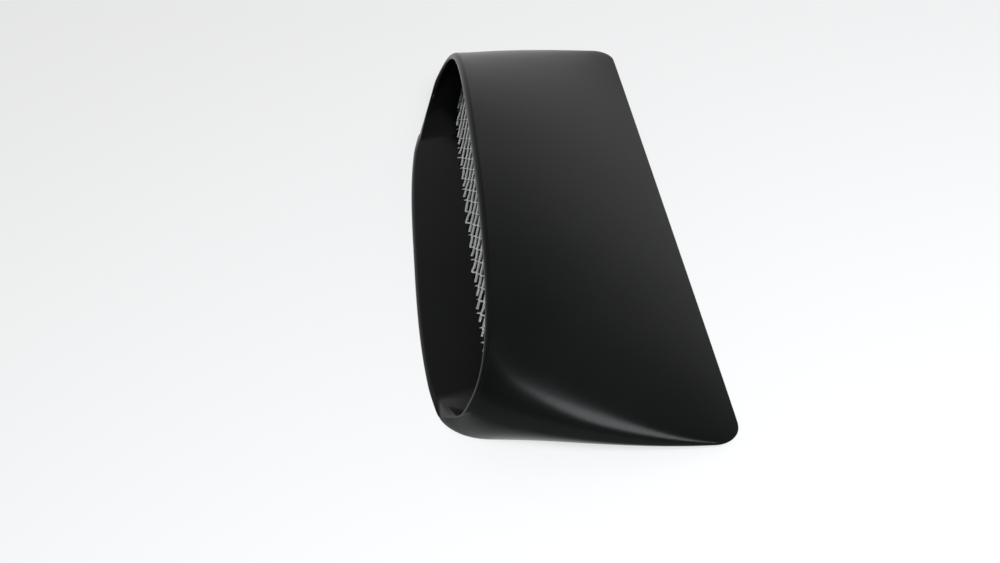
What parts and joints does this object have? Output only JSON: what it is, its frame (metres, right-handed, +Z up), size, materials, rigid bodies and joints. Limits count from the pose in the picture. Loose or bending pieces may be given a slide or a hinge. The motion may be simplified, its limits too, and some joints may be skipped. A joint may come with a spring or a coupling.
{
  "type": "bonnet scoop",
  "caption": "Wide fan-shaped bonnet scoop with an oval raked mouth, a flat floor lip, a mesh guard in the duct and an open outlet in its flat underside.",
  "frame": {"origin": "centre of the bounding box on the base plane that lies on the bonnet", "axes": "+X from the mouth to the rear edge, +Y across the bonnet, +Z up away from the bonnet"},
  "size_m": [0.2422, 0.6074, 0.118],
  "materials": {
    "primer_gelcoat": "satin black primer gelcoat on fibreglass",
    "mesh_aluminium": "raw expanded aluminium",
    "glass_resin": "cured glass tape and resin"
  },
  "bodies": {
    "root": {"scoop_shell": "primer_gelcoat", "mesh_insert": "mesh_aluminium", "mesh_bond": "glass_resin"}
  },
  "joints": []
}
